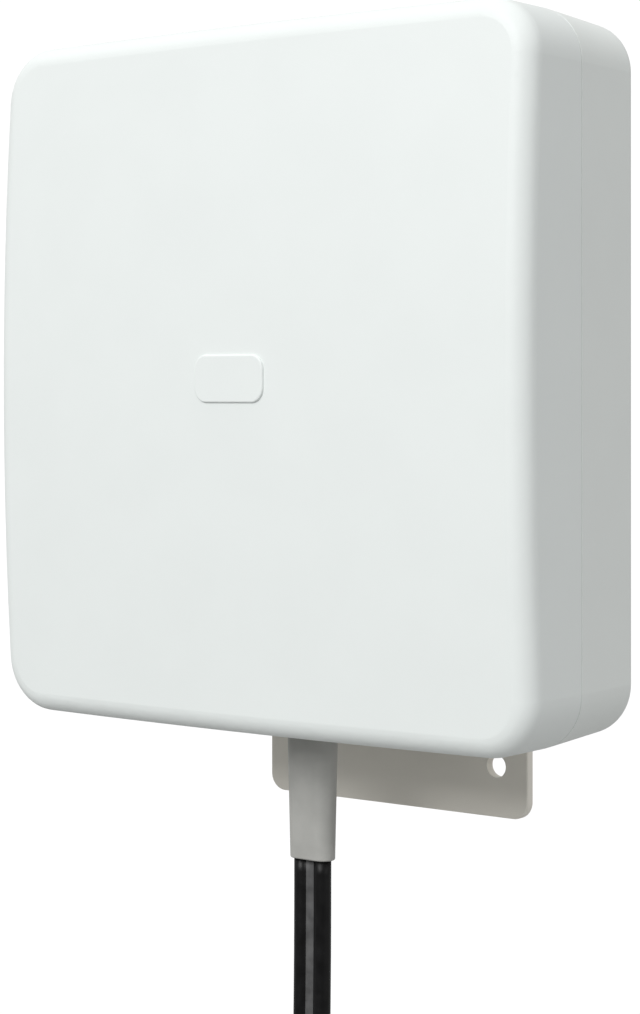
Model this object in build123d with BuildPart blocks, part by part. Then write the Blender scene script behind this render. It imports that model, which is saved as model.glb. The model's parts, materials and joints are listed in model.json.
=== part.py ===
"""Enclosed directional panel antenna with a wall bracket, a twin coaxial cable and two screw-on plugs.

Millimetres. X is the width, Z is up, the radome faces -Y and the wall is the plane y = 0.
The origin is the middle of the bracket's two wall screw holes, on the wall.
"""
from build123d import *
import math
import os

os.makedirs("parts", exist_ok=True)

# ---------------------------------------------------------------- driving dimensions
# Housing
HOUSING_WIDTH = 185.0
HOUSING_HEIGHT = 194.0
HOUSING_DEPTH = 61.2
CORNER_RADIUS = 15.5
FRONT_EDGE_RADIUS = 6.0
REAR_EDGE_RADIUS = 4.5
DOME_RADIUS = 1150.0
SEAM_FROM_FRONT = 30.9
REAR_DRAFT = 3.0
RADOME_WALL = 2.5
REAR_WALL = 2.8
SEAM_CHAMFER = 0.3

# Place of the housing: its rear face off the wall, its middle above the wall screw holes
STANDOFF = 17.9
HOUSING_MID_Z = 110.7

# Rim between the two shells, as distances in from the housing's outline
RIM_INSET = 6.3
RIM_DEPTH = 3.0
SEAL_OUTER_INSET = 3.1
SEAL_INNER_INSET = 5.1
SEAL_THICKNESS = 1.4

# Blank badge pad in the middle of the radome
BADGE_WIDTH = 24.0
BADGE_HEIGHT = 13.0
BADGE_CORNER = 4.0
BADGE_RISE = 0.6

# Cover screws, in the four corners
COVER_SCREW_X = 80.0
COVER_SCREW_Z = 86.5
COVER_SCREW_RADIUS = 1.75
COVER_SCREW_LENGTH = 25.0
COVER_SCREW_SEAT = 16.0
COVER_HEAD_RADIUS = 3.5
COVER_HEAD_HEIGHT = 2.6
CORNER_BOSS_RADIUS = 5.5
SCREW_HOLE_CLEARANCE = 0.25
HEAD_HOLE_CLEARANCE = 0.4

# Bracket: one folded sheet
SHEET = 3.0
BRACKET_WIDTH = 93.3
EAR_BOTTOM_Z = -14.6
EAR_CORNER = 5.0
EAR_EDGE_RADIUS = 0.5
FLANGE_LOW_Z = 28.2
BRACKET_TOP_Z = 172.7
BEND_RADIUS = 5.0
LUG_REACH = 18.0
LUG_HEIGHT = 30.0
BEND_RELIEF = 2.0
WALL_HOLE_X = 36.0
WALL_HOLE_RADIUS = 3.25
BRACKET_SCREW_X = 35.0
BRACKET_SCREW_Z = 45.0
BRACKET_SCREW_RADIUS = 2.5
BRACKET_SCREW_LENGTH = 10.0
BRACKET_HEAD = (4.75, 2.75)
TOOL_HOLE_RADIUS = 5.5
STRAP_SLOT_X = 22.0
STRAP_SLOT_Z = 28.0
STRAP_SLOT_LENGTH = 26.0
STRAP_SLOT_WIDTH = 6.0
KEYHOLE_Z = 146.0
KEYHOLE_HEAD_RADIUS = 5.0
KEYHOLE_NECK_WIDTH = 5.6
KEYHOLE_NECK_LENGTH = 10.0
WASHER_RADIUS = 5.0
WASHER_THICKNESS = 1.0

# Brass inserts in the rear shell
INSERT_RADIUS = 3.2
INSERT_LENGTH = 7.0
INSERT_BOSS_RADIUS = 6.0

# Small screws, and the post and clamp that hold the cable inside
SMALL_SCREW_RADIUS = 1.5
SMALL_SCREW_LENGTH = 7.0
SMALL_HOLE_RADIUS = 1.7
SMALL_HEAD = (2.8, 1.8)
SOCKET_SMALL = 1.3
SOCKET_LARGE = 1.8
CLAMP_Z = 28.2
CLAMP_WIDTH = 30.0
CLAMP_HEIGHT = 9.0
CLAMP_STRAP = 2.0
CLAMP_POST_CORNER = 1.5
CLAMP_SCREW_X = 10.5
CLAMP_SCREW_BITE = 8.0

# Vent in the rear face
VENT_POINT = (64.0, -70.0)
VENT_CAP_RADIUS = 6.0
VENT_CAP_HEIGHT = 1.8
VENT_STEM_RADIUS = 3.0
VENT_PORE_RADIUS = 0.6

# Radiating stack, distances from the wall
REFLECTOR_BACK = 30.0
REFLECTOR_THICKNESS = 1.5
REFLECTOR_WIDTH = 150.0
REFLECTOR_HEIGHT = 141.0
REFLECTOR_LIP = 7.0
REFLECTOR_CORNER = 6.0
REFLECTOR_SCREW_X = 60.0
REFLECTOR_SCREW_Z = 62.0
REFLECTOR_BOSS_RADIUS = 4.0
BALUN_WIDTH = 34.0
BALUN_HEIGHT = 26.0
BALUN_BOARD = 1.6
TAB_WIDTH = 6.0
TAB_RADIUS = 10.0
TAB_CLEARANCE = 0.1
RADIATOR_SIZE = 66.0
RADIATOR_CORNER = 4.0
RADIATOR_BOARD = 1.6
ARM_SIZE = 21.5
ARM_CORNER = 3.0
ARM_HOLE_RADIUS = 4.3
ARM_PITCH = 25.0
COPPER = 0.3
TRACE_X = 8.0
TRACE_WIDTH = 2.4
TRACE_MARGIN = 2.0
DIRECTOR_RADIUS = 30.0
DIRECTOR_THICKNESS = 1.0
DIRECTOR_GAP = 12.6
POST_CIRCLE = 26.0
POST_RADIUS = 2.5

# Figure-8 twin cable: two round cores side by side in X, joined by a web
CORE_DIAMETER = 5.0
CORE_SPACING = 7.0
TWIN_WIDTH = CORE_SPACING + CORE_DIAMETER
WEB_THICKNESS = 2.0
CABLE_FROM_FRONT = 36.85
BOOT_END_Z = -24.6
BOOT_TOP = (15.9, 8.7)
BOOT_TIP = (14.2, 6.9)
BOOT_NECK = (13.8, 7.4)
BOOT_FLANGE = (17.2, 8.0)
BOOT_FLANGE_Z = 17.5
BOOT_FLANGE_THICKNESS = 2.0
BOOT_TIP_ROUNDING = 0.5
LEAD_START_Z = 36.2
LEAD_BEND_Z = (48.2, 65.2)
LEAD_END = (6.4, -34.6, 84.2)
FEED_WIRE_RADIUS = 0.7
FEED_WIRE_LENGTH = 18.0

# Put-away coil of the cable: two flat spirals side by side, axis along Y
COIL_TURNS_EACH = 5.5
COIL_OUTER_MID = 80.2
COIL_PITCH = 5.15
COIL_CLEARANCE = 0.3
COLUMN_SPACING = 12.2
TIE_WIDTH = 5.0
TIE_THICKNESS = 1.4
TIE_HEAD = 4.0
TIE_CORNER = 2.4
TIE_INNER_CORNER = 1.0
TIE_CLEARANCE = 0.3
TIE_ANGLES = (30, 150, 270)

# Splitter, tails and plugs; a tail's steps start at its core and go outward in Y and down
TWIN_END_LENGTH = 34.0
SPLITTER_LENGTH = 18.0
SPLITTER_SECTION = (15.0, 7.6)
SPLITTER_ROUNDING = 1.2
TAIL_STEPS = [(0.0, 0.0, 0.0), (0.0, 0.0, -24.0), (-1.5, 6.5, -54.0), (-1.5, 6.5, -82.0)]
RUNNING_CLEARANCE = 0.05
BARREL_RADIUS = 2.85
THREAD_RADIUS = 3.175
NUT_ACROSS_FLATS = 8.0
NUT_CORNER_CROWN = 0.45
NUT_TOP = 13.2
NUT_LIP = 1.6
NUT_LENGTH = 8.2
INSULATOR_RADIUS = 2.05
INSULATOR_TOP = 14.0
INSULATOR_BOTTOM = 17.6
PIN_RADIUS = 0.46
PIN_TIP = 20.6

# Plug body, top to bottom from the tail's end: ferrule, shoulder, barrel, retaining ring, contact
PLUG_BANDS = [
    (0.0, -9.0, 3.3, 0),
    (-9.0, -11.0, 2.9, 0),
    (-11.0, -13.0, 3.9, 0),
    (-13.0, -14.0, BARREL_RADIUS, 0),
    (-14.0, -15.0, BARREL_RADIUS, INSULATOR_RADIUS),
    (-15.0, -16.0, 3.1, INSULATOR_RADIUS),
    (-16.0, -17.6, 2.3, INSULATOR_RADIUS),
]

# ---------------------------------------------------------------- derived places
REAR_Y = -STANDOFF
FRONT_Y = REAR_Y - HOUSING_DEPTH
SEAM_Y = FRONT_Y + SEAM_FROM_FRONT
CABLE_Y = FRONT_Y + CABLE_FROM_FRONT
CLAMP_SEAT = -CABLE_Y - CORE_DIAMETER / 2
HOUSING_BOTTOM_Z = HOUSING_MID_Z - HOUSING_HEIGHT / 2
REFLECTOR_FRONT = REFLECTOR_BACK + REFLECTOR_THICKNESS
RADIATOR_BACK = REFLECTOR_FRONT + BALUN_HEIGHT
RADIATOR_FRONT = RADIATOR_BACK + RADIATOR_BOARD
DIRECTOR_BACK = RADIATOR_FRONT + DIRECTOR_GAP

EAR_TOP_Z = FLANGE_LOW_Z - BEND_RELIEF - EAR_CORNER
CORNER_POINTS = [(x, z) for x in (-COVER_SCREW_X, COVER_SCREW_X) for z in (-COVER_SCREW_Z, COVER_SCREW_Z)]
BRACKET_POINTS = [
    (x, z) for x in (-BRACKET_SCREW_X, BRACKET_SCREW_X) for z in (-BRACKET_SCREW_Z, BRACKET_SCREW_Z)
]
REFLECTOR_POINTS = [
    (x, z) for x in (-REFLECTOR_SCREW_X, REFLECTOR_SCREW_X) for z in (-REFLECTOR_SCREW_Z, REFLECTOR_SCREW_Z)
]

CLAMP_POINTS = [(-CLAMP_SCREW_X, 0.0), (CLAMP_SCREW_X, 0.0)]
POST_POINTS = [(POST_CIRCLE, 0.0), (0.0, POST_CIRCLE), (-POST_CIRCLE, 0.0), (0.0, -POST_CIRCLE)]
VENT_POINT_FROM_FRONT = (-VENT_POINT[0], VENT_POINT[1])
LUG_GAPS = [
    (FLANGE_LOW_Z - 1, HOUSING_MID_Z - BRACKET_SCREW_Z - LUG_HEIGHT / 2),
    (HOUSING_MID_Z - BRACKET_SCREW_Z + LUG_HEIGHT / 2, HOUSING_MID_Z + BRACKET_SCREW_Z - LUG_HEIGHT / 2),
    (HOUSING_MID_Z + BRACKET_SCREW_Z + LUG_HEIGHT / 2, BRACKET_TOP_Z + 1),
]

# The hanging lead, from the boot's tip to where it touches the coil's outer turn at 135 degrees
LEAD_ROUTE = [
    (0.0, CABLE_Y, BOOT_END_Z),
    (0.0, CABLE_Y, -72.0),
    (-2.0, CABLE_Y, -121.0),
    (-22.0, CABLE_Y, -166.0),
    (-56.7, CABLE_Y, -200.7),
]
COIL_Z = LEAD_ROUTE[-1][2] + LEAD_ROUTE[-1][0]
COIL_MID_Y = CABLE_Y - COLUMN_SPACING / 2
FRONT_COLUMN_Y = CABLE_Y - COLUMN_SPACING
COIL_INNER_MID = COIL_OUTER_MID - COIL_TURNS_EACH * COIL_PITCH
COIL_OUTER_RADIUS = COIL_OUTER_MID + CORE_DIAMETER / 2 + COIL_CLEARANCE
COIL_INNER_RADIUS = COIL_INNER_MID - CORE_DIAMETER / 2 - COIL_CLEARANCE
COIL_WIDTH = COLUMN_SPACING + TWIN_WIDTH + 2 * COIL_CLEARANCE

SPLITTER_TOP_Z = COIL_Z - TWIN_END_LENGTH
TAIL_TOP_Z = SPLITTER_TOP_Z - SPLITTER_LENGTH


# ---------------------------------------------------------------- planes and shared shapes
def facing_front(distance, z=HOUSING_MID_Z):
    """Sketch plane parallel to the wall, X right and Z up, extruding towards the front."""
    return Plane(origin=(0, -distance, z), x_dir=(1, 0, 0), z_dir=(0, -1, 0))


def facing_wall(distance, z=HOUSING_MID_Z):
    """The same plane seen from the front, extruding towards the wall."""
    return Plane(origin=(0, -distance, z), x_dir=(-1, 0, 0), z_dir=(0, 1, 0))


def level(z, x=0.0, y=CABLE_Y):
    """Horizontal sketch plane at height z."""
    return Plane(origin=(x, y, z))


def radome_blank(inset):
    """The front shell as a solid, drawn in by inset on every side."""
    with BuildPart() as blank:
        with BuildSketch(facing_front(-SEAM_Y)):
            RectangleRounded(HOUSING_WIDTH - 2 * inset, HOUSING_HEIGHT - 2 * inset, CORNER_RADIUS - inset)
        extrude(amount=SEAM_FROM_FRONT)
        with Locations((0, FRONT_Y + DOME_RADIUS, HOUSING_MID_Z)):
            Sphere(DOME_RADIUS - inset, mode=Mode.INTERSECT)
        dome = blank.faces().sort_by(Axis.Y)[0]
        fillet(dome.edges(), FRONT_EDGE_RADIUS - inset)
    return blank.part


def rear_blank(inset):
    """The rear shell as a solid, drawn in by inset, with its moulding draft."""
    with BuildPart() as blank:
        with BuildSketch(facing_wall(-SEAM_Y)):
            RectangleRounded(HOUSING_WIDTH - 2 * inset, HOUSING_HEIGHT - 2 * inset, CORNER_RADIUS - inset)
        extrude(amount=HOUSING_DEPTH - SEAM_FROM_FRONT - inset, taper=REAR_DRAFT)
        back = blank.faces().sort_by(Axis.Y)[-1]
        fillet(back.edges(), REAR_EDGE_RADIUS - inset)
    return blank.part


def rim_ring(outer_inset, inner_inset):
    """A closed band that follows the housing's outline; drawn in the current sketch."""
    for inset, mode in ((outer_inset, Mode.ADD), (inner_inset, Mode.SUBTRACT)):
        RectangleRounded(
            HOUSING_WIDTH - 2 * inset, HOUSING_HEIGHT - 2 * inset, CORNER_RADIUS - inset, mode=mode
        )


def screws(plane, points, head, shank_radius, length, socket):
    """Screws as a group of solids: heads stand behind the plane, shanks run along its normal."""
    head_radius, head_height = head
    head_plane = plane.offset(-head_height)
    with BuildPart() as group:
        with BuildSketch(head_plane):
            with Locations(*points):
                Circle(head_radius)
        extrude(amount=head_height)
        tops = group.faces().sort_by(Axis(head_plane.origin, head_plane.z_dir))[: len(points)]
        fillet(tops.edges(), head_height * 0.4)
        with BuildSketch(plane):
            with Locations(*points):
                Circle(shank_radius)
        extrude(amount=length)
        with BuildSketch(head_plane):
            with Locations(*points):
                RegularPolygon(socket, 6)
        extrude(amount=head_height * 0.6, mode=Mode.SUBTRACT)
    return group.part


def twin_section(plane):
    """The cable's figure-8 section."""
    with BuildSketch(plane) as section:
        with GridLocations(CORE_SPACING, 1, 2, 1):
            Circle(CORE_DIAMETER / 2)
        Rectangle(CORE_SPACING, WEB_THICKNESS)
    return section.sketch


def route_radii(route):
    """The largest corner radii that a route's straight runs leave room for."""
    points = [Vector(*point) for point in route]
    radii = []
    for before, corner, after in zip(points, points[1:], points[2:]):
        run_in = corner - before
        run_out = after - corner
        half_turn = math.radians(run_in.get_angle(run_out)) / 2
        radii.append(0.45 * min(run_in.length, run_out.length) / math.tan(half_turn))
    return radii


def section_area(width, height):
    """Area of a round cord's section, or of a flat one's when it has a height."""
    if height is None:
        return math.pi * width**2 / 4
    return math.pi * height**2 / 4 + (width - height) * height


def cord_tube(route, name, width, height=None):
    """A cord along straight runs joined by tangent arcs; flat when it has a height."""
    radii = route_radii(route)
    with BuildPart() as tube:
        with BuildLine() as path:
            FilletPolyline(*route, radius=radii)
        with BuildSketch(Plane(origin=path.line @ 0, x_dir=(1, 0, 0), z_dir=path.line % 0)):
            if height is None:
                Circle(width / 2)
            else:
                SlotOverall(width, height)
        sweep()
    length = sum(edge.length for edge in path.edges())
    print(name, "length", round(length, 1), "radii", [round(radius, 1) for radius in radii])
    print(name, "volume", round(tube.part.volume), "expected", round(section_area(width, height) * length))
    return tube.part


def save(piece, name):
    """Label a finished sub-part and write it."""
    piece.label = name
    export_step(piece, f"parts/{name}.step")


# ---------------------------------------------------------------- housing shells
radome_outer = radome_blank(0)
radome_inner = radome_blank(RADOME_WALL)
rear_outer = rear_blank(0)
rear_inner = rear_blank(REAR_WALL)

with BuildPart() as radome_bosses:
    with BuildSketch(facing_front(-SEAM_Y)):
        with Locations(*CORNER_POINTS):
            Circle(CORNER_BOSS_RADIUS)
    extrude(amount=SEAM_FROM_FRONT)
    add(radome_blank(RADOME_WALL / 2), mode=Mode.INTERSECT)

with BuildPart() as front_radome:
    add(radome_outer)
    chamfer(front_radome.faces().sort_by(Axis.Y)[-1].edges(), SEAM_CHAMFER)
    add(radome_inner, mode=Mode.SUBTRACT)
    add(radome_bosses.part)
    with BuildSketch(facing_front(-SEAM_Y)):
        rim_ring(RADOME_WALL / 2, RIM_INSET)
    extrude(amount=RIM_DEPTH)
    with BuildSketch(facing_front(-FRONT_Y + BADGE_RISE)):
        RectangleRounded(BADGE_WIDTH, BADGE_HEIGHT, BADGE_CORNER)
    extrude(amount=-BADGE_RISE - RADOME_WALL / 2)
    badge_face = front_radome.faces().sort_by(Axis.Y)[0]
    fillet(badge_face.edges(), BADGE_RISE * 0.8)
    with BuildSketch(facing_front(-SEAM_Y)):
        with Locations(*CORNER_POINTS):
            Circle(COVER_SCREW_RADIUS)
    extrude(amount=COVER_SCREW_LENGTH / 2 + 0.5, mode=Mode.SUBTRACT)
save(front_radome.part, "front_radome")

# What is cut away to bevel the rear shell's edge at the seam
with BuildPart() as rear_edge_break:
    with BuildSketch(facing_wall(-SEAM_Y)):
        Rectangle(HOUSING_WIDTH + 2, HOUSING_HEIGHT + 2)
    extrude(amount=SEAM_CHAMFER)
    with BuildSketch(facing_wall(-SEAM_Y)):
        RectangleRounded(
            HOUSING_WIDTH - 2 * SEAM_CHAMFER, HOUSING_HEIGHT - 2 * SEAM_CHAMFER, CORNER_RADIUS - SEAM_CHAMFER
        )
    extrude(amount=SEAM_CHAMFER, taper=-45, mode=Mode.SUBTRACT)

with BuildPart() as rear_housing:
    add(rear_outer)
    add(rear_edge_break.part, mode=Mode.SUBTRACT)
    add(rear_inner, mode=Mode.SUBTRACT)
    # Rim, corner bosses, insert bosses, reflector bosses and the post that the cable is clamped on
    with BuildSketch(facing_wall(-SEAM_Y)):
        rim_ring(REAR_WALL / 2, RIM_INSET)
    extrude(amount=RIM_DEPTH)
    with BuildSketch(facing_wall(-SEAM_Y)):
        with Locations(*CORNER_POINTS):
            Circle(CORNER_BOSS_RADIUS)
    extrude(amount=HOUSING_DEPTH - SEAM_FROM_FRONT - REAR_WALL / 2)
    with BuildSketch(facing_front(STANDOFF + REAR_WALL / 2)):
        with Locations(*BRACKET_POINTS):
            Circle(INSERT_BOSS_RADIUS)
        with Locations(*REFLECTOR_POINTS):
            Circle(REFLECTOR_BOSS_RADIUS)
    extrude(amount=REFLECTOR_BACK - STANDOFF - REAR_WALL / 2)
    with BuildSketch(facing_front(STANDOFF + REAR_WALL / 2, z=CLAMP_Z)):
        RectangleRounded(CLAMP_WIDTH, CLAMP_HEIGHT, CLAMP_POST_CORNER)
    extrude(amount=CLAMP_SEAT - STANDOFF - REAR_WALL / 2)
    # Cover screw holes with sunk heads
    with BuildSketch(facing_wall(-SEAM_Y)):
        with Locations(*CORNER_POINTS):
            Circle(COVER_SCREW_RADIUS + SCREW_HOLE_CLEARANCE)
    extrude(amount=HOUSING_DEPTH, mode=Mode.SUBTRACT)
    with BuildSketch(facing_front(STANDOFF)):
        with Locations(*CORNER_POINTS):
            Circle(COVER_HEAD_RADIUS + HEAD_HOLE_CLEARANCE)
    extrude(amount=COVER_SCREW_SEAT, mode=Mode.SUBTRACT)
    # Sockets for the inserts, pilot holes for the reflector and clamp screws
    with BuildSketch(facing_front(STANDOFF)):
        with Locations(*BRACKET_POINTS):
            Circle(INSERT_RADIUS)
    extrude(amount=INSERT_LENGTH, mode=Mode.SUBTRACT)
    with BuildSketch(facing_wall(REFLECTOR_BACK)):
        with Locations(*REFLECTOR_POINTS):
            Circle(SMALL_SCREW_RADIUS)
    extrude(amount=SMALL_SCREW_LENGTH - REFLECTOR_THICKNESS, mode=Mode.SUBTRACT)
    with BuildSketch(facing_wall(CLAMP_SEAT, z=CLAMP_Z)):
        with Locations(*CLAMP_POINTS):
            Circle(SMALL_SCREW_RADIUS)
    extrude(amount=CLAMP_SCREW_BITE, mode=Mode.SUBTRACT)
    # Groove for the seal, vent hole, and the cable's way in through the bottom wall
    with BuildSketch(facing_wall(-SEAM_Y)):
        rim_ring(SEAL_OUTER_INSET, SEAL_INNER_INSET)
    extrude(amount=SEAL_THICKNESS, mode=Mode.SUBTRACT)
    with BuildSketch(facing_front(STANDOFF)):
        with Locations(VENT_POINT):
            Circle(VENT_STEM_RADIUS)
    extrude(amount=REAR_WALL, mode=Mode.SUBTRACT)
    with BuildSketch(level(HOUSING_BOTTOM_Z - 1)):
        SlotOverall(*BOOT_NECK)
    extrude(amount=BOOT_FLANGE_Z - HOUSING_BOTTOM_Z + 1, mode=Mode.SUBTRACT)
    with BuildSketch(level(BOOT_FLANGE_Z)):
        SlotOverall(BOOT_FLANGE[0] + HEAD_HOLE_CLEARANCE, BOOT_FLANGE[1] + HEAD_HOLE_CLEARANCE)
    extrude(amount=RIM_INSET, mode=Mode.SUBTRACT)
save(rear_housing.part, "rear_housing")

with BuildPart() as perimeter_seal:
    with BuildSketch(facing_wall(-SEAM_Y)):
        rim_ring(SEAL_OUTER_INSET, SEAL_INNER_INSET)
    extrude(amount=SEAL_THICKNESS)
save(perimeter_seal.part, "perimeter_seal")

cover_seat = facing_front(STANDOFF + COVER_SCREW_SEAT)
cover_head = (COVER_HEAD_RADIUS, COVER_HEAD_HEIGHT)
cover_screws = screws(
    cover_seat, CORNER_POINTS, cover_head, COVER_SCREW_RADIUS, COVER_SCREW_LENGTH, SOCKET_SMALL
)
save(cover_screws, "cover_screws")

with BuildPart() as vent_plug:
    with BuildSketch(facing_wall(STANDOFF)):
        with Locations(VENT_POINT_FROM_FRONT):
            Circle(VENT_CAP_RADIUS)
    extrude(amount=VENT_CAP_HEIGHT)
    cap_face = vent_plug.faces().sort_by(Axis.Y)[-1]
    fillet(cap_face.edges(), VENT_CAP_HEIGHT * 0.5)
    with BuildSketch(facing_front(STANDOFF)):
        with Locations(VENT_POINT):
            Circle(VENT_STEM_RADIUS)
    extrude(amount=REAR_WALL + 1.2)
    with BuildSketch(facing_wall(STANDOFF - VENT_CAP_HEIGHT)):
        with Locations(VENT_POINT_FROM_FRONT):
            with PolarLocations(VENT_CAP_RADIUS * 0.5, 6):
                Circle(VENT_PORE_RADIUS)
    extrude(amount=-VENT_CAP_HEIGHT * 0.5, mode=Mode.SUBTRACT)
save(vent_plug.part, "vent_plug")

with BuildPart() as brass_inserts:
    with BuildSketch(facing_front(STANDOFF)):
        with Locations(*BRACKET_POINTS):
            Circle(INSERT_RADIUS)
            Circle(BRACKET_SCREW_RADIUS, mode=Mode.SUBTRACT)
    extrude(amount=INSERT_LENGTH)
save(brass_inserts.part, "brass_inserts")

# ---------------------------------------------------------------- wall bracket and its fixings
with BuildPart() as bracket_ear:
    with BuildSketch(facing_front(0, z=0)):
        with Locations((0, (EAR_BOTTOM_Z + FLANGE_LOW_Z - BEND_RELIEF) / 2)):
            RectangleRounded(BRACKET_WIDTH, FLANGE_LOW_Z - BEND_RELIEF - EAR_BOTTOM_Z, EAR_CORNER)
    extrude(amount=SHEET)
    ear_faces = bracket_ear.faces().filter_by(Axis.Y)
    fillet(ear_faces.edges(), EAR_EDGE_RADIUS)

with BuildPart() as mounting_bracket:
    # Channel with two flanges and inward lugs, folded from one sheet
    with BuildSketch(Plane.XY.offset(FLANGE_LOW_Z)):
        with Locations((0, -STANDOFF / 2)):
            RectangleRounded(BRACKET_WIDTH, STANDOFF, BEND_RADIUS)
            RectangleRounded(
                BRACKET_WIDTH - 2 * SHEET, STANDOFF - 2 * SHEET, BEND_RADIUS - SHEET, mode=Mode.SUBTRACT
            )
        with Locations((0, -STANDOFF)):
            Rectangle(BRACKET_WIDTH - 2 * LUG_REACH, 3 * SHEET, mode=Mode.SUBTRACT)
    extrude(amount=BRACKET_TOP_Z - FLANGE_LOW_Z)
    # Lugs only at the screws
    for low, high in LUG_GAPS:
        with BuildSketch(Plane.XY.offset(low)):
            with Locations((0, -STANDOFF)):
                Rectangle(BRACKET_WIDTH + SHEET, 4 * SHEET)
        extrude(amount=high - low, mode=Mode.SUBTRACT)
    # Flat web down to the ear that shows below the housing
    with BuildSketch(facing_front(0, z=0)):
        with Locations((0, (EAR_TOP_Z + BRACKET_TOP_Z) / 2)):
            Rectangle(BRACKET_WIDTH - 2 * BEND_RADIUS, BRACKET_TOP_Z - EAR_TOP_Z)
    extrude(amount=SHEET)
    add(bracket_ear.part)
    # Wall screw holes, keyhole, strap slots, tool holes
    with BuildSketch(facing_front(0, z=0)):
        with GridLocations(2 * WALL_HOLE_X, 1, 2, 1):
            Circle(WALL_HOLE_RADIUS)
        with Locations((0, KEYHOLE_Z)):
            Circle(KEYHOLE_HEAD_RADIUS)
        with Locations((0, KEYHOLE_Z + KEYHOLE_NECK_LENGTH / 2)):
            SlotCenterToCenter(KEYHOLE_NECK_LENGTH, KEYHOLE_NECK_WIDTH, rotation=90)
    extrude(amount=SHEET, mode=Mode.SUBTRACT)
    with BuildSketch(facing_front(0)):
        with GridLocations(2 * STRAP_SLOT_X, 2 * STRAP_SLOT_Z, 2, 2):
            SlotOverall(STRAP_SLOT_LENGTH, STRAP_SLOT_WIDTH, rotation=90)
        with Locations(*BRACKET_POINTS):
            Circle(TOOL_HOLE_RADIUS)
    extrude(amount=SHEET, mode=Mode.SUBTRACT)
    with BuildSketch(facing_wall(STANDOFF)):
        with Locations(*BRACKET_POINTS):
            Circle(BRACKET_SCREW_RADIUS + SCREW_HOLE_CLEARANCE)
    extrude(amount=SHEET, mode=Mode.SUBTRACT)
save(mounting_bracket.part, "mounting_bracket")

with BuildPart() as bracket_washers:
    with BuildSketch(facing_wall(STANDOFF - SHEET)):
        with Locations(*BRACKET_POINTS):
            Circle(WASHER_RADIUS)
            Circle(BRACKET_SCREW_RADIUS + SCREW_HOLE_CLEARANCE, mode=Mode.SUBTRACT)
    extrude(amount=WASHER_THICKNESS)
save(bracket_washers.part, "bracket_washers")

bracket_seat = facing_front(STANDOFF - SHEET - WASHER_THICKNESS)
bracket_screws = screws(
    bracket_seat, BRACKET_POINTS, BRACKET_HEAD, BRACKET_SCREW_RADIUS, BRACKET_SCREW_LENGTH, SOCKET_LARGE
)
save(bracket_screws, "bracket_screws")

# ---------------------------------------------------------------- radiating stack
with BuildPart() as reflector_plate:
    with BuildSketch(facing_front(REFLECTOR_BACK)):
        RectangleRounded(REFLECTOR_WIDTH, REFLECTOR_HEIGHT, REFLECTOR_CORNER)
    extrude(amount=REFLECTOR_THICKNESS + REFLECTOR_LIP)
    with BuildSketch(facing_front(REFLECTOR_FRONT)):
        RectangleRounded(
            REFLECTOR_WIDTH - 2 * REFLECTOR_THICKNESS,
            REFLECTOR_HEIGHT - 2 * REFLECTOR_THICKNESS,
            REFLECTOR_CORNER - REFLECTOR_THICKNESS,
        )
    extrude(amount=REFLECTOR_LIP, mode=Mode.SUBTRACT)
    with BuildSketch(facing_front(REFLECTOR_BACK)):
        with Locations(*REFLECTOR_POINTS):
            Circle(SMALL_HOLE_RADIUS)
        with PolarLocations(TAB_RADIUS, 4, start_angle=45):
            Rectangle(TAB_WIDTH + 2 * TAB_CLEARANCE, BALUN_BOARD + 2 * TAB_CLEARANCE)
    extrude(amount=REFLECTOR_THICKNESS, mode=Mode.SUBTRACT)
save(reflector_plate.part, "reflector_plate")

reflector_screws = screws(
    facing_wall(REFLECTOR_FRONT),
    REFLECTOR_POINTS,
    SMALL_HEAD,
    SMALL_SCREW_RADIUS,
    SMALL_SCREW_LENGTH,
    SOCKET_SMALL,
)
save(reflector_screws, "reflector_screws")


def balun_plane(side):
    """Middle plane of a balun board: across the housing at 45 degrees, and forward."""
    half = math.sqrt(0.5)
    return Plane(
        origin=(0, -REFLECTOR_FRONT, HOUSING_MID_Z),
        x_dir=(half, 0, side * half),
        z_dir=(side * half, 0, -half),
    )


def balun_board(side):
    """Board standing on the reflector, half-lapped with its partner, with tabs at both ends."""
    lap_height = BALUN_HEIGHT / 4 if side > 0 else 3 * BALUN_HEIGHT / 4
    with BuildPart() as board:
        with BuildSketch(balun_plane(side)):
            with Locations((0, BALUN_HEIGHT / 2)):
                Rectangle(BALUN_WIDTH, BALUN_HEIGHT)
            with Locations((0, BALUN_HEIGHT / 2 + (RADIATOR_BOARD - REFLECTOR_THICKNESS) / 2)):
                with GridLocations(2 * TAB_RADIUS, 1, 2, 1):
                    Rectangle(TAB_WIDTH, BALUN_HEIGHT + RADIATOR_BOARD + REFLECTOR_THICKNESS)
            with Locations((0, lap_height)):
                Rectangle(BALUN_BOARD, BALUN_HEIGHT / 2, mode=Mode.SUBTRACT)
        extrude(amount=BALUN_BOARD / 2, both=True)
    return board.part


save(balun_board(1), "balun_board_a")
save(balun_board(-1), "balun_board_b")

with BuildPart() as balun_traces:
    for side in (1, -1):
        with BuildSketch(balun_plane(side).offset(BALUN_BOARD / 2)):
            with Locations((-TRACE_X, BALUN_HEIGHT / 2)):
                Rectangle(TRACE_WIDTH, BALUN_HEIGHT - 2 * TRACE_MARGIN)
            with Locations((-(TRACE_X + TRACE_WIDTH) / 2, BALUN_HEIGHT - TRACE_MARGIN - TRACE_WIDTH / 2)):
                Rectangle(TRACE_X, TRACE_WIDTH)
        extrude(amount=COPPER)
save(balun_traces.part, "balun_traces")

with BuildPart() as radiator_board:
    with BuildSketch(facing_front(RADIATOR_BACK)):
        RectangleRounded(RADIATOR_SIZE, RADIATOR_SIZE, RADIATOR_CORNER)
        with PolarLocations(TAB_RADIUS, 4, start_angle=45):
            Rectangle(TAB_WIDTH + TAB_CLEARANCE, BALUN_BOARD + TAB_CLEARANCE, mode=Mode.SUBTRACT)
    extrude(amount=RADIATOR_BOARD)
save(radiator_board.part, "radiator_board")

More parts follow.
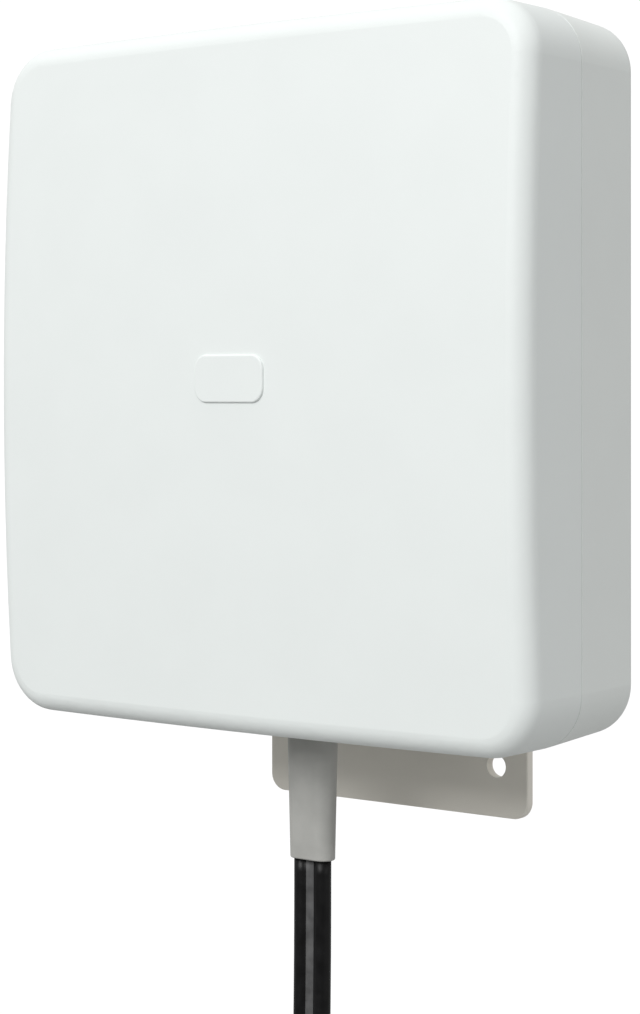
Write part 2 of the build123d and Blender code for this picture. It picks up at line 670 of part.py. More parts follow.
with BuildPart() as radiator_arms:
    with BuildSketch(facing_front(RADIATOR_FRONT)):
        with GridLocations(ARM_PITCH, ARM_PITCH, 2, 2):
            RectangleRounded(ARM_SIZE, ARM_SIZE, ARM_CORNER)
            Circle(ARM_HOLE_RADIUS, mode=Mode.SUBTRACT)
    extrude(amount=COPPER)
save(radiator_arms.part, "radiator_arms")

with BuildPart() as director_plate:
    with BuildSketch(facing_front(DIRECTOR_BACK)):
        Circle(DIRECTOR_RADIUS)
        with PolarLocations(POST_CIRCLE, 4):
            Circle(SMALL_HOLE_RADIUS, mode=Mode.SUBTRACT)
    extrude(amount=DIRECTOR_THICKNESS)
save(director_plate.part, "director_plate")

with BuildPart() as director_posts:
    with BuildSketch(facing_front(RADIATOR_FRONT)):
        with PolarLocations(POST_CIRCLE, 4):
            Circle(POST_RADIUS)
    extrude(amount=DIRECTOR_GAP)
    with BuildSketch(facing_front(DIRECTOR_BACK)):
        with PolarLocations(POST_CIRCLE, 4):
            Circle(SMALL_SCREW_RADIUS)
    extrude(amount=-DIRECTOR_GAP / 2, mode=Mode.SUBTRACT)
save(director_posts.part, "director_posts")

director_screws = screws(
    facing_wall(DIRECTOR_BACK + DIRECTOR_THICKNESS),
    POST_POINTS,
    SMALL_HEAD,
    SMALL_SCREW_RADIUS,
    DIRECTOR_GAP / 2,
    SOCKET_SMALL,
)
save(director_screws, "director_screws")

# ---------------------------------------------------------------- cable entry
with BuildPart() as strain_relief_boot:
    with BuildSketch(level(HOUSING_BOTTOM_Z + 1)):
        SlotOverall(*BOOT_TOP)
    with BuildSketch(level(BOOT_END_Z)):
        SlotOverall(*BOOT_TIP)
    loft()
    add(rear_outer, mode=Mode.SUBTRACT)
    tip_face = strain_relief_boot.faces().sort_by(Axis.Z)[0]
    fillet(tip_face.edges(), BOOT_TIP_ROUNDING)
    with BuildSketch(level(HOUSING_BOTTOM_Z - 1)):
        SlotOverall(*BOOT_NECK)
    extrude(amount=BOOT_FLANGE_Z - HOUSING_BOTTOM_Z + 1)
    with BuildSketch(level(BOOT_FLANGE_Z)):
        SlotOverall(*BOOT_FLANGE)
    extrude(amount=BOOT_FLANGE_THICKNESS)
    extrude(twin_section(level(BOOT_END_Z - 1)), amount=LEAD_START_Z - BOOT_END_Z, mode=Mode.SUBTRACT)
save(strain_relief_boot.part, "strain_relief_boot")

with BuildPart() as entry_cable:
    extrude(twin_section(level(BOOT_END_Z)), amount=LEAD_START_Z - BOOT_END_Z)
save(entry_cable.part, "entry_cable")

with BuildPart() as cable_clamp:
    with BuildSketch(Plane.XY.offset(CLAMP_Z - CLAMP_HEIGHT / 2)):
        with Locations((0, -CLAMP_SEAT - (CORE_DIAMETER + CLAMP_STRAP) / 2)):
            Rectangle(CLAMP_WIDTH, CORE_DIAMETER + CLAMP_STRAP)
        with Locations((0, -CLAMP_SEAT - CORE_DIAMETER / 2)):
            Rectangle(TWIN_WIDTH + 0.4, CORE_DIAMETER, mode=Mode.SUBTRACT)
    extrude(amount=CLAMP_HEIGHT)
    with BuildSketch(facing_front(CLAMP_SEAT, z=CLAMP_Z)):
        with Locations(*CLAMP_POINTS):
            Circle(SMALL_HOLE_RADIUS)
    extrude(amount=CORE_DIAMETER + CLAMP_STRAP, mode=Mode.SUBTRACT)
save(cable_clamp.part, "cable_clamp")

clamp_screws = screws(
    facing_wall(CLAMP_SEAT + CORE_DIAMETER + CLAMP_STRAP, z=CLAMP_Z),
    CLAMP_POINTS,
    SMALL_HEAD,
    SMALL_SCREW_RADIUS,
    CLAMP_SCREW_BITE + CORE_DIAMETER + CLAMP_STRAP,
    SOCKET_SMALL,
)
save(clamp_screws, "clamp_screws")

# The twin parts into two leads, which run up the reflector to the boards
for side, letter in ((1, "a"), (-1, "b")):
    end_x, end_y, end_z = LEAD_END
    lead_route = [
        (side * CORE_SPACING / 2, CABLE_Y, LEAD_START_Z),
        (side * CORE_SPACING / 2, CABLE_Y, LEAD_BEND_Z[0]),
        (side * end_x, end_y, LEAD_BEND_Z[1]),
        (side * end_x, end_y, end_z),
    ]
    save(cord_tube(lead_route, f"coax_lead_{letter}", CORE_DIAMETER), f"coax_lead_{letter}")

with BuildPart() as feed_wires:
    with BuildSketch(level(LEAD_END[2], y=LEAD_END[1])):
        with GridLocations(2 * LEAD_END[0], 1, 2, 1):
            Circle(FEED_WIRE_RADIUS)
    extrude(amount=FEED_WIRE_LENGTH)
save(feed_wires.part, "feed_wires")

# ---------------------------------------------------------------- free cable, outside the housing
save(cord_tube(LEAD_ROUTE, "twin_cable", TWIN_WIDTH, CORE_DIAMETER), "twin_cable")

with BuildPart() as cable_coil:
    with BuildSketch(Plane(origin=(0, COIL_MID_Y, COIL_Z), x_dir=(1, 0, 0), z_dir=(0, -1, 0))):
        Circle(COIL_OUTER_RADIUS)
        Circle(COIL_INNER_RADIUS, mode=Mode.SUBTRACT)
    extrude(amount=COIL_WIDTH / 2, both=True)
    fillet(cable_coil.edges(), CORE_DIAMETER / 2)
save(cable_coil.part, "cable_coil")

with BuildPart() as coil_ties:
    for angle in TIE_ANGLES:
        outward = (math.cos(math.radians(angle)), 0, math.sin(math.radians(angle)))
        along = (-outward[2], 0, outward[0])
        middle = (COIL_OUTER_RADIUS + COIL_INNER_RADIUS) / 2
        centre = (outward[0] * middle, COIL_MID_Y, COIL_Z + outward[2] * middle)
        inner = (COIL_OUTER_RADIUS - COIL_INNER_RADIUS + 2 * TIE_CLEARANCE, COIL_WIDTH + 2 * TIE_CLEARANCE)
        outer = (inner[0] + 2 * TIE_THICKNESS, inner[1] + 2 * TIE_THICKNESS)
        with BuildSketch(Plane(origin=centre, x_dir=outward, z_dir=along)):
            RectangleRounded(*outer, TIE_CORNER)
            RectangleRounded(*inner, TIE_INNER_CORNER, mode=Mode.SUBTRACT)
            with Locations(((outer[0] + TIE_HEAD - TIE_THICKNESS) / 2, 0)):
                RectangleRounded(TIE_HEAD, 2 * TIE_HEAD, TIE_INNER_CORNER)
        extrude(amount=TIE_WIDTH / 2, both=True)
save(coil_ties.part, "coil_ties")

twin_end_plane = Plane(origin=(-COIL_OUTER_MID, FRONT_COLUMN_Y, COIL_Z), x_dir=(0, 1, 0), z_dir=(0, 0, -1))

with BuildPart() as twin_cable_end:
    with BuildSketch(twin_end_plane):
        SlotOverall(TWIN_WIDTH, CORE_DIAMETER)
    extrude(amount=TWIN_END_LENGTH)
save(twin_cable_end.part, "twin_cable_end")

with BuildPart() as splitter_sleeve:
    with BuildSketch(twin_end_plane.offset(TWIN_END_LENGTH)):
        SlotOverall(*SPLITTER_SECTION)
    extrude(amount=SPLITTER_LENGTH)
    ends = splitter_sleeve.faces().filter_by(Axis.Z)
    fillet(ends.edges(), SPLITTER_ROUNDING)
save(splitter_sleeve.part, "splitter_sleeve")


# ---------------------------------------------------------------- tails and screw-on plugs
def ring_stack(x, y, stations):
    """A turned piece on the vertical axis at (x, y): bands of (top, bottom, outer radius, bore radius)."""
    with BuildPart() as turned:
        for top, bottom, outer, bore in stations:
            with BuildSketch(level(bottom, x=x, y=y)):
                Circle(outer)
                if bore:
                    Circle(bore, mode=Mode.SUBTRACT)
            extrude(amount=top - bottom)
    return turned.part


def coupling_nut(x, y, top):
    """Hexagon nut that turns on the plug's barrel: a narrow lip behind, a wide threaded mouth in front."""
    lip_z = top - NUT_LIP
    mouth_z = top - NUT_LENGTH
    with BuildPart() as nut:
        with BuildSketch(level(mouth_z, x=x, y=y)):
            RegularPolygon(NUT_ACROSS_FLATS / 2, 6, major_radius=False)
        extrude(amount=NUT_LENGTH)
        with BuildSketch(level(mouth_z, x=x, y=y)):
            Circle(NUT_ACROSS_FLATS / 2 + NUT_CORNER_CROWN)
        extrude(amount=NUT_LENGTH, mode=Mode.INTERSECT)
        with BuildSketch(level(mouth_z, x=x, y=y)):
            Circle(THREAD_RADIUS)
        extrude(amount=lip_z - mouth_z, mode=Mode.SUBTRACT)
        with BuildSketch(level(mouth_z, x=x, y=y)):
            Circle(BARREL_RADIUS + RUNNING_CLEARANCE)
        extrude(amount=NUT_LENGTH, mode=Mode.SUBTRACT)
    return nut.part


for side, letter in ((-1, "a"), (1, "b")):
    core_y = FRONT_COLUMN_Y + side * CORE_SPACING / 2
    tail_route = [(-COIL_OUTER_MID + x, core_y + side * y, TAIL_TOP_Z + z) for x, y, z in TAIL_STEPS]
    save(cord_tube(tail_route, f"tail_{letter}", CORE_DIAMETER), f"tail_{letter}")
    plug_x, plug_y, plug_z = tail_route[-1]
    stations = [
        (plug_z + drop_top, plug_z + drop_bottom, outer, bore)
        for drop_top, drop_bottom, outer, bore in PLUG_BANDS
    ]
    save(ring_stack(plug_x, plug_y, stations), f"plug_body_{letter}")
    insulator = [(plug_z - INSULATOR_TOP, plug_z - INSULATOR_BOTTOM, INSULATOR_RADIUS, PIN_RADIUS)]
    save(ring_stack(plug_x, plug_y, insulator), f"plug_insulator_{letter}")
    pin = [(plug_z - INSULATOR_TOP, plug_z - PIN_TIP, PIN_RADIUS, 0)]
    save(ring_stack(plug_x, plug_y, pin), f"plug_pin_{letter}")
    save(coupling_nut(plug_x, plug_y, plug_z - NUT_TOP), f"coupling_nut_{letter}")
    print("plug", letter, "axis at", round(plug_x, 2), round(plug_y, 2), "from", round(plug_z, 2))
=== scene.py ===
"""Studio picture and finished meshes of the enclosed panel antenna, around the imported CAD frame.

Metres, in the CAD's own frame: X is the width, Z is up, the radome faces -Y and the wall is y = 0.
"""
import json
import math

import bpy
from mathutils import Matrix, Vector


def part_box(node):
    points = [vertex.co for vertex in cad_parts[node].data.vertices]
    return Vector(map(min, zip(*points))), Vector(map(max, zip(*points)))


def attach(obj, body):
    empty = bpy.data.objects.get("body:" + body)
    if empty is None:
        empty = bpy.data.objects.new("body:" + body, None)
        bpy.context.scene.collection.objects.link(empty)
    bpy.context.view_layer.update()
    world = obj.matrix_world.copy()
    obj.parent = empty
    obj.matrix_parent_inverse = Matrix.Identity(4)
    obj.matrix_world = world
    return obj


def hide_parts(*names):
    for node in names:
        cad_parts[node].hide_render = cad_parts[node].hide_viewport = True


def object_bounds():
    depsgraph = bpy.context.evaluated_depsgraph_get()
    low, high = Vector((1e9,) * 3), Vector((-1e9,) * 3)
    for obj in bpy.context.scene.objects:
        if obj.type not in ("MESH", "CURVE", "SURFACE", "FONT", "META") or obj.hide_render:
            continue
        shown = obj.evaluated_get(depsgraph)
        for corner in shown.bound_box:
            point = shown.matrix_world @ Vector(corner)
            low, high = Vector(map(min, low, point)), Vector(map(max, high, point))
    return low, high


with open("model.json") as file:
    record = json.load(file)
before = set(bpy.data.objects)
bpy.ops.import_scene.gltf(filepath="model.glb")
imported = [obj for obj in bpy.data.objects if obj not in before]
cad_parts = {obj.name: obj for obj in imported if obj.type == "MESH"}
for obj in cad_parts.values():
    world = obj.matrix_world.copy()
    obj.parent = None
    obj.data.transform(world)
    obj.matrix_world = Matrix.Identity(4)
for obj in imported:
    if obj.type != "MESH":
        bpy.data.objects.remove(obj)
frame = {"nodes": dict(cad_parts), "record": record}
cad_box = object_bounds()
nodes = frame["nodes"]
scene = bpy.context.scene
MM = 0.001

# ---------------------------------------------------------------- places read from the frame
housing_low, housing_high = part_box("rear_housing")
radome_low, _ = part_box("front_radome")
boot_low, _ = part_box("strain_relief_boot")
core_low, core_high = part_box("entry_cable")
coil_low, coil_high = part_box("cable_coil")
sleeve_low, sleeve_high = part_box("splitter_sleeve")
BADGE_RISE = 0.6 * MM
apex = Vector((0.0, radome_low.y + BADGE_RISE, (housing_low.z + housing_high.z) / 2))

# ---------------------------------------------------------------- camera
# It stands right of the radome's apex, in front of it and hardly below it, and looks level.
CAMERA_RIGHT = 0.4234
CAMERA_OUT = 0.5065
CAMERA_DROP = 0.0037
CAMERA_TURN = 37.756
CAMERA_DIP = -0.0733
CAMERA_LENS = 86.555
CAMERA_SHIFT = -0.11614

camera = bpy.data.objects.new("camera", bpy.data.cameras.new("camera"))
scene.collection.objects.link(camera)
camera.location = apex + Vector((CAMERA_RIGHT, -CAMERA_OUT, -CAMERA_DROP))
camera.rotation_euler = (math.radians(90 - CAMERA_DIP), 0, math.radians(CAMERA_TURN))
camera.data.lens = CAMERA_LENS
camera.data.shift_y = CAMERA_SHIFT
camera.data.clip_start = 0.05
scene.camera = camera


# ---------------------------------------------------------------- material helpers
def shader_of(material):
    return material.node_tree.nodes["Principled BSDF"]


def new_material(name, color, roughness, metallic=0.0, specular=0.5):
    """A material and its shader, with the constant values on the shader's own sockets."""
    material = bpy.data.materials.new(name)
    material.use_nodes = True
    shader = shader_of(material)
    shader.inputs["Base Color"].default_value = (*color, 1)
    shader.inputs["Roughness"].default_value = roughness
    shader.inputs["Metallic"].default_value = metallic
    shader.inputs["Specular IOR Level"].default_value = specular
    material.diffuse_color = (*color, 1)
    return material


def add_node(owner, kind, **values):
    """A node of a material or world, with its properties and, by socket name, its values."""
    node = owner.node_tree.nodes.new(kind)
    for key, value in values.items():
        if hasattr(node, key):
            setattr(node, key, value)
        else:
            node.inputs[key.replace("_", " ")].default_value = value
    return node


def link(owner, source, target):
    owner.node_tree.links.new(source, target)


def noise(material, size, detail=2.0, stretch=(1, 1, 1), coordinate="Object"):
    """Noise whose blotches are about size metres across, longer where stretch is over 1."""
    place = add_node(material, "ShaderNodeTexCoord")
    scale = add_node(material, "ShaderNodeMapping", Scale=[1 / part for part in stretch])
    texture = add_node(material, "ShaderNodeTexNoise", Scale=1 / size, Detail=detail)
    link(material, place.outputs[coordinate], scale.inputs["Vector"])
    link(material, scale.outputs["Vector"], texture.inputs["Vector"])
    return texture.outputs["Fac"]


def spread(owner, value, low, high, start=0.35, end=0.65):
    """The value's range from start to end stretched to low to high."""
    reach = add_node(owner, "ShaderNodeMapRange")
    for socket, number in (("From Min", start), ("From Max", end), ("To Min", low), ("To Max", high)):
        reach.inputs[socket].default_value = number
    link(owner, value, reach.inputs["Value"])
    return reach.outputs["Result"]


def colour(material, value, dark, light, start=0.35, end=0.65):
    """Base colour that runs from dark to light as the value goes from start to end."""
    ramp = add_node(material, "ShaderNodeValToRGB")
    for stop, place, shade in zip(ramp.color_ramp.elements, (start, end), (dark, light)):
        stop.position = place
        stop.color = (*shade, 1)
    link(material, value, ramp.inputs["Fac"])
    link(material, ramp.outputs["Color"], shader_of(material).inputs["Base Color"])


def roughness(material, value, low, high):
    link(material, spread(material, value, low, high), shader_of(material).inputs["Roughness"])


def bumps(material, *layers):
    """Relief from (height, depth in metres, strength) layers, one over the other."""
    below = None
    for height, depth, strength in layers:
        bump = add_node(material, "ShaderNodeBump", Strength=strength, Distance=depth)
        link(material, height, bump.inputs["Height"])
        if below is not None:
            link(material, below, bump.inputs["Normal"])
        below = bump.outputs["Normal"]
    link(material, below, shader_of(material).inputs["Normal"])


def shades(color, amount):
    """The colour a little darker and a little lighter."""
    return [part * (1 - amount) for part in color], [min(1.0, part * (1 + amount)) for part in color]


# ---------------------------------------------------------------- materials
def moulded(name, color, gloss, grain=0.35 * MM, relief=0.02 * MM, mottle=0.006):
    """Moulded plastic: spark-eroded grain, slow waviness and faint flow marks."""
    material = new_material(name, color, gloss)
    fine = noise(material, grain, 3.0)
    slow = noise(material, 60 * grain, 2.0)
    colour(material, slow, *shades(color, mottle))
    roughness(material, fine, gloss - 0.06, gloss + 0.08)
    bumps(material, (slow, 0.15 * MM, 0.06), (fine, relief, 0.5))
    return material


def rubbery(name, color, gloss):
    """Soft moulding: matt, faintly streaked along Z, with a dusty bloom."""
    material = new_material(name, color, gloss, specular=0.35)
    streak = noise(material, 1.2 * MM, 3.0, stretch=(1, 1, 8))
    bloom = noise(material, 9 * MM, 4.0)
    colour(material, bloom, *shades(color, 0.06))
    roughness(material, streak, gloss - 0.08, gloss + 0.08)
    bumps(material, (streak, 0.04 * MM, 0.3))
    shader_of(material).inputs["Sheen Weight"].default_value = 0.15
    return material


def powder_coat(name, color, gloss):
    """Powder coat on sheet steel: orange peel, fine specks and a slow drift of colour."""
    material = new_material(name, color, gloss)
    peel = noise(material, 1.1 * MM, 2.0)
    speck = noise(material, 0.25 * MM, 4.0)
    drift = noise(material, 22 * MM, 3.0)
    colour(material, drift, *shades(color, 0.02))
    roughness(material, speck, gloss - 0.07, gloss + 0.1)
    bumps(material, (peel, 0.06 * MM, 0.5), (speck, 0.02 * MM, 0.4))
    return material


def metal(name, color, gloss, stretch=(1, 1, 1), mottle=0.08):
    """Worked metal: tool or rolling marks along the stretched axis, and slow tarnish."""
    material = new_material(name, color, gloss, metallic=1.0)
    marks = noise(material, 0.3 * MM, 4.0, stretch=stretch)
    tarnish = noise(material, 5 * MM, 4.0)
    colour(material, tarnish, *shades(color, mottle))
    roughness(material, marks, gloss * 0.7, gloss * 1.35)
    bumps(material, (marks, 0.015 * MM, 0.35))
    return material


def laminate(name, color):
    """Glass laminate: a woven check under clear resin."""
    material = new_material(name, color, 0.35)
    warp = noise(material, 0.5 * MM, 1.0, stretch=(12, 1, 1))
    weft = noise(material, 0.5 * MM, 1.0, stretch=(1, 1, 12))
    both = add_node(material, "ShaderNodeMath", operation="ADD")
    link(material, warp, both.inputs[0])
    link(material, weft, both.inputs[1])
    colour(material, both.outputs["Value"], *shades(color, 0.12), start=0.8, end=1.2)
    bumps(material, (both.outputs["Value"], 0.02 * MM, 0.3))
    return material


def extruded(name, color, gloss, specular=0.5):
    """Extruded jacket: fine streaks along the cable, and scuffs."""
    material = new_material(name, color, gloss, specular=specular)
    streak = noise(material, 0.35 * MM, 2.0, stretch=(40, 1, 1), coordinate="UV")
    scuff = noise(material, 4 * MM, 5.0)
    colour(material, scuff, *shades(color, 0.25))
    roughness(material, scuff, gloss - 0.05, gloss + 0.12)
    bumps(material, (streak, 0.02 * MM, 0.3))
    return material


finishes = {
    "radome": moulded("radome_plastic", (0.80, 0.838, 0.824), 0.5),
    "rear_shell": moulded("rear_plastic", (0.80, 0.835, 0.815), 0.46),
    "seal": rubbery("seal_rubber", (0.016, 0.016, 0.017), 0.62),
    "steel_fixings": metal("stainless_steel", (0.60, 0.59, 0.57), 0.3),
    "dark_plastic": moulded("dark_plastic", (0.018, 0.018, 0.02), 0.5, mottle=0.1),
    "brass": metal("turned_brass", (0.72, 0.5, 0.22), 0.26),
    "bracket_paint": powder_coat("bracket_powder_coat", (0.80, 0.77, 0.70), 0.48),
    "sheet_aluminium": metal("mill_aluminium", (0.77, 0.78, 0.79), 0.34, stretch=(1, 1, 30), mottle=0.04),
    "circuit_board": laminate("glass_laminate", (0.62, 0.58, 0.42)),
    "copper": metal("bare_copper", (0.76, 0.36, 0.2), 0.3),
    "white_nylon": moulded("natural_nylon", (0.78, 0.77, 0.7), 0.4),
    "boot": rubbery("boot_rubber", (0.39, 0.39, 0.37), 0.55),
    "cable_jacket": extruded("cable_jacket", (0.004, 0.004, 0.0042), 0.34, specular=0.22),
    # The web's lighter grey, against the near-black jacket, is a painted highlight: it stands in for the
    # light reflected off the cores' inner rims between them.
    "cable_web": extruded("cable_web", (0.09, 0.09, 0.091), 0.5, specular=0.3),
    "tie_nylon": moulded("tie_nylon", (0.012, 0.012, 0.013), 0.36, mottle=0.1),
    "sleeve": rubbery("shrunk_sleeve", (0.012, 0.012, 0.013), 0.5),
    "gilt": metal("gold_plating", (0.9, 0.66, 0.27), 0.18),
    "nut_nickel": metal("nickel_plating", (0.72, 0.7, 0.66), 0.2),
}

for part in frame["record"]["subparts"]:
    slots = nodes[part["node"]].data.materials
    slots.clear()
    slots.append(finishes[part["material_slot"]])


# ---------------------------------------------------------------- free cable
# The lead's points repeat the CAD's route, and the coil's turns and the straight end follow from it.
CABLE_Y = (core_low.y + core_high.y) / 2
CORE_RADIUS = (core_high.y - core_low.y) / 2
TWIN_WIDTH = core_high.x - core_low.x
CORE_SPACING = TWIN_WIDTH - 2 * CORE_RADIUS
WEB_HALF = 1.3 * MM
COLUMN_SPACING = 12.2 * MM
FRONT_COLUMN_Y = CABLE_Y - COLUMN_SPACING
LEAD = [
    (0.0, CABLE_Y, boot_low.z),
    (0.0, CABLE_Y, -72 * MM),
    (-2 * MM, CABLE_Y, -121 * MM),
    (-22 * MM, CABLE_Y, -166 * MM),
    (-56.7 * MM, CABLE_Y, -200.7 * MM),
]
COIL_Z = (coil_low.z + coil_high.z) / 2
COIL_TURNS_EACH = 5.5
COIL_OUTER = 80.2 * MM
COIL_PITCH = 5.15 * MM
STEPS_PER_TURN = 24
CROSSING_STEPS = 3
TWIST_FROM_Z = -72 * MM
TWIST_TO_Z = -130 * MM
TAIL_STEPS = [(0.0, 0.0, 0.0), (0.0, 0.0, -24.0), (-1.5, 6.5, -54.0), (-1.5, 6.5, -82.0)]
LEAD_SMOOTH_STEPS = 24
COIL_SMOOTH_STEPS = 4


def spline_curve(name, points, resolution):
    """A curve object along one NURBS spline with these control points."""
    data = bpy.data.curves.new(name, "CURVE")
    data.dimensions = "3D"
    spline = data.splines.new("NURBS")
    spline.points.add(len(points) - 1)
    for point, place in zip(spline.points, points):
        point.co = (*place, 1)
    spline.order_u = 3
    spline.use_endpoint_u = True
    spline.resolution_u = resolution
    piece = bpy.data.objects.new(name, data)
    scene.collection.objects.link(piece)
    return piece


def points_along(name, points, resolution):
    """The places that Blender gives for the spline through these control points."""
    guide = spline_curve(name, points, resolution)
    line = bpy.data.meshes.new_from_object(guide)
    places = [vertex.co.copy() for vertex in line.vertices]
    bpy.data.objects.remove(guide)
    bpy.data.meshes.remove(line)
    return places


def coil_points():
    """Control points of the coil: inward in the rear column, across, and outward in the front one."""
    corner_gain = 1 / math.cos(math.pi / STEPS_PER_TURN)
    steps_each = round(COIL_TURNS_EACH * STEPS_PER_TURN)
    inner = COIL_OUTER - COIL_TURNS_EACH * COIL_PITCH
    found = []
    for step in range(1, 2 * steps_each + CROSSING_STEPS):
        turned_in = min(step, steps_each)
        turned_out = max(0, step - steps_each - CROSSING_STEPS)
        radius = inner + (steps_each - turned_in + turned_out) * COIL_PITCH / STEPS_PER_TURN
        across = min(1.0, max(0.0, (step - steps_each) / CROSSING_STEPS))
        angle = math.radians(135) + math.tau * step / STEPS_PER_TURN
        found.append(
            (
                radius * corner_gain * math.cos(angle),
                CABLE_Y - across * COLUMN_SPACING,
                COIL_Z + radius * corner_gain * math.sin(angle),
            )
        )
    return found


def twin_profile():
    """The figure-8 section as (across, thickness, is web) points, anticlockwise from a web corner."""
    corner = math.asin(WEB_HALF / CORE_RADIUS)
    lobe_steps = 14
    section = []
    for side, start in ((1, corner - math.pi), (-1, corner)):
        for step in range(lobe_steps + 1):
            angle = start + 2 * (math.pi - corner) * step / lobe_steps
            across = side * CORE_SPACING / 2 + CORE_RADIUS * math.cos(angle)
            section.append((across, CORE_RADIUS * math.sin(angle), step == lobe_steps))
    return section


def direction_at(path, index):
    """The path's direction at one of its points, from the points on either side."""
    return (path[min(index + 1, len(path) - 1)] - path[max(index - 1, 0)]).normalized()


def sweep_mesh(name, path, wide_axes, section, skins):
    """A closed tube of the section along the path; a web face takes the second skin, whose lighter grey
    is a painted highlight between the cores.
    """
    count = len(section)
    corners, faces, lengths = [], [], []
    travelled = 0.0
    for index, (place, wide) in enumerate(zip(path, wide_axes)):
        thick = direction_at(path, index).cross(wide).normalized()
        travelled += (place - path[index - 1]).length if index else 0.0
        lengths.append(travelled)
        corners += [place + wide * across + thick * up for across, up, _ in section]
    for ring in range(len(path) - 1):
        for step in range(count):
            after = (step + 1) % count
            first, second = ring * count, (ring + 1) * count
            faces.append((first + step, first + after, second + after, second + step))
    faces += [tuple(reversed(range(count))), tuple(range(len(corners) - count, len(corners)))]
    mesh = bpy.data.meshes.new(name)
    mesh.from_pydata(corners, [], faces)
    layer = mesh.uv_layers.new(name="along").data
    around = 2 * (TWIN_WIDTH + 2 * CORE_RADIUS) / count
    for face in mesh.polygons:
        face.use_smooth = len(face.vertices) == 4
        face.material_index = int(face.index < len(faces) - 2 and section[face.index % count][2])
        for loop in face.loop_indices:
            vertex = mesh.loops[loop].vertex_index
            step = vertex % count
            wrapped = step or (count if face.index % count == count - 1 else 0)
            layer[loop].uv = (lengths[vertex // count], wrapped * around)
    for skin in skins:
        mesh.materials.append(skin)
    piece = bpy.data.objects.new(name, mesh)
    scene.collection.objects.link(piece)
    return piece


def wide_axis(place, ahead):
    """The twin's wide direction: along X at the boot, turning to Y before the coil."""
    turned = min(1.0, max(0.0, (place.z - TWIST_FROM_Z) / (TWIST_TO_Z - TWIST_FROM_Z)))
    turned = turned * turned * (3 - 2 * turned) * math.pi / 2
    across = Vector((0, 1, 0))
    flat = (across - ahead * across.dot(ahead)).normalized()
    side = flat.cross(ahead).normalized()
    return side * math.cos(turned) + flat * math.sin(turned)


end_x = -COIL_OUTER
straight_end = [(end_x, FRONT_COLUMN_Y, COIL_Z), (end_x, FRONT_COLUMN_Y, sleeve_high.z)]
route = LEAD + coil_points() + straight_end
path = points_along("twin_guide", route, LEAD_SMOOTH_STEPS)
lead_points = (len(LEAD) - 1) * LEAD_SMOOTH_STEPS
every = LEAD_SMOOTH_STEPS // COIL_SMOOTH_STEPS
# The lead keeps all its points, so that its twist is smooth, and the coil keeps every few
path = path[:lead_points] + path[lead_points:-1:every] + path[-1:]
wide_axes = [wide_axis(place, direction_at(path, index)) for index, place in enumerate(path)]
# The flat web faces get the lighter cable_web skin, a painted highlight between the two cores.
twin = sweep_mesh(
    "twin_cable_run", path, wide_axes, twin_profile(), [finishes["cable_jacket"], finishes["cable_web"]]
)
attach(twin, "root")
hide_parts("twin_cable", "cable_coil", "twin_cable_end")

for letter, side in (("a", -1), ("b", 1)):
    start = Vector((end_x, FRONT_COLUMN_Y + side * CORE_SPACING / 2, sleeve_low.z))
    tail_route = [start + Vector((x, side * y, z)) * MM for x, y, z in TAIL_STEPS]
    tail_route[-1].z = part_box(f"tail_{letter}")[0].z
    tail = spline_curve(f"tail_run_{letter}", tail_route, 12)
    tail.data.bevel_depth = CORE_RADIUS
    tail.data.bevel_resolution = 6
    tail.data.use_fill_caps = True
    tail.data.materials.append(finishes["cable_jacket"])
    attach(tail, "root")
    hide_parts(f"tail_{letter}")


# ---------------------------------------------------------------- floor and light
FLOOR_GAP = 150 * MM
FLOOR_RADIUS = 0.8
FLOOR_SOLID = 0.18
FLOOR_CLEAR = 0.97 * FLOOR_RADIUS
FLOOR_STEPS = 96
WORLD_REACH = 0.6
WORLD_HIGH = 0.9
BACKDROP = 1.05


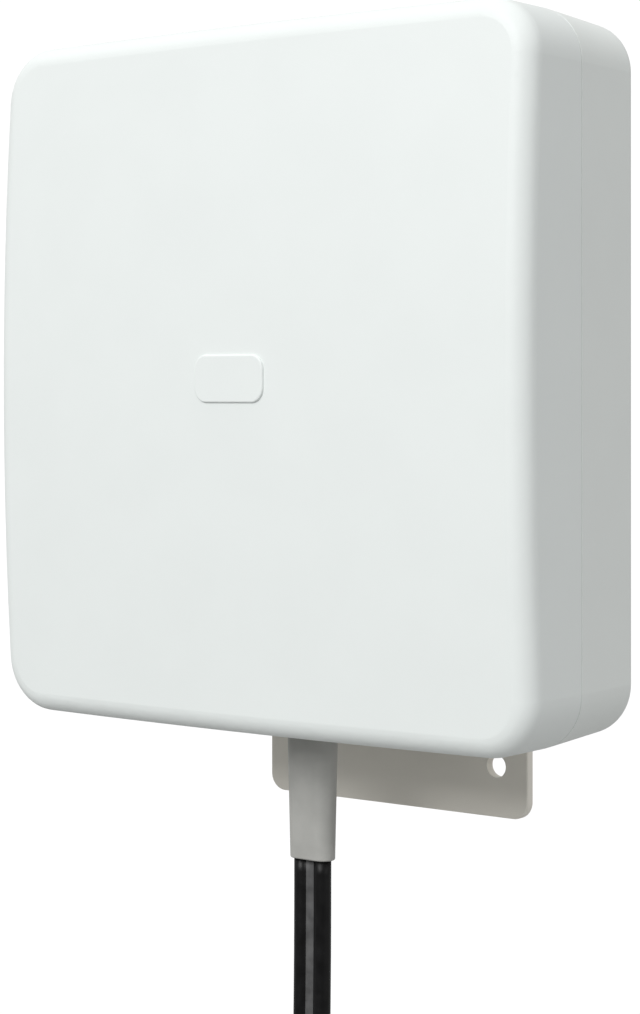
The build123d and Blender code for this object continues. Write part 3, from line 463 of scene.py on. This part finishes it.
def pale_floor():
    """A pale round floor that fades out before it reaches the picture's edge."""
    mesh = bpy.data.meshes.new("floor")
    angles = [math.tau * step / FLOOR_STEPS for step in range(FLOOR_STEPS)]
    rim = [(FLOOR_RADIUS * math.cos(angle), FLOOR_RADIUS * math.sin(angle), 0) for angle in angles]
    mesh.from_pydata(rim, [], [tuple(range(FLOOR_STEPS))])
    floor = bpy.data.objects.new("floor", mesh)
    scene.collection.objects.link(floor)
    floor.location.z = cad_box[0].z - FLOOR_GAP
    material = new_material("floor_paint", (0.6, 0.6, 0.59), 0.7)
    output = material.node_tree.nodes["Material Output"]
    place = add_node(material, "ShaderNodeTexCoord")
    size = add_node(material, "ShaderNodeVectorMath", operation="LENGTH")
    link(material, place.outputs["Object"], size.inputs[0])
    fade = spread(material, size.outputs["Value"], 0.0, 1.0, start=FLOOR_SOLID, end=FLOOR_CLEAR)
    clear = add_node(material, "ShaderNodeBsdfTransparent")
    mixed = add_node(material, "ShaderNodeMixShader")
    link(material, fade, mixed.inputs["Fac"])
    link(material, shader_of(material).outputs["BSDF"], mixed.inputs[1])
    link(material, clear.outputs["BSDF"], mixed.inputs[2])
    link(material, mixed.outputs["Shader"], output.inputs["Surface"])
    mesh.materials.append(material)
    return floor


def soft_light(name, place, size, power):
    """A square soft box that points at the housing."""
    data = bpy.data.lights.new(name, "AREA")
    data.shape = "SQUARE"
    data.size = size
    data.energy = power
    lamp = bpy.data.objects.new(name, data)
    scene.collection.objects.link(lamp)
    lamp.location = place
    lamp.rotation_euler = (apex - Vector(place)).to_track_quat("-Z", "Y").to_euler()


def studio_world(front, back, above, below):
    """White to the camera; for light, from front to back, with more of it above and less below."""
    world = bpy.data.worlds.new("studio")
    scene.world = world
    world.use_nodes = True
    shade = world.node_tree.nodes["Background"]
    output = world.node_tree.nodes["World Output"]
    place = add_node(world, "ShaderNodeTexCoord")
    split = add_node(world, "ShaderNodeSeparateXYZ")
    link(world, place.outputs["Generated"], split.inputs["Vector"])
    level = spread(world, split.outputs["Y"], front, back, start=-WORLD_REACH, end=WORLD_REACH)
    rise = spread(world, split.outputs["Z"], below, above, start=-WORLD_REACH, end=WORLD_HIGH)
    total = add_node(world, "ShaderNodeMath", operation="ADD")
    link(world, level, total.inputs[0])
    link(world, rise, total.inputs[1])
    link(world, total.outputs["Value"], shade.inputs["Strength"])
    shade.inputs["Color"].default_value = (1, 1, 1, 1)
    white = add_node(world, "ShaderNodeBackground", Color=(1, 1, 1, 1), Strength=BACKDROP)
    rays = add_node(world, "ShaderNodeLightPath")
    mixed = add_node(world, "ShaderNodeMixShader")
    link(world, rays.outputs["Is Camera Ray"], mixed.inputs["Fac"])
    link(world, shade.outputs["Background"], mixed.inputs[1])
    link(world, white.outputs["Background"], mixed.inputs[2])
    link(world, mixed.outputs["Shader"], output.inputs["Surface"])


pale_floor()
soft_light("key", (-0.2, -5.1, 3.1), 3.2, 260)
soft_light("side_fill", (2.8, -0.3, 0.6), 1.8, 7)
studio_world(front=0.43, back=0.60, above=0.27, below=-0.27)
scene.view_settings.view_transform = "Standard"
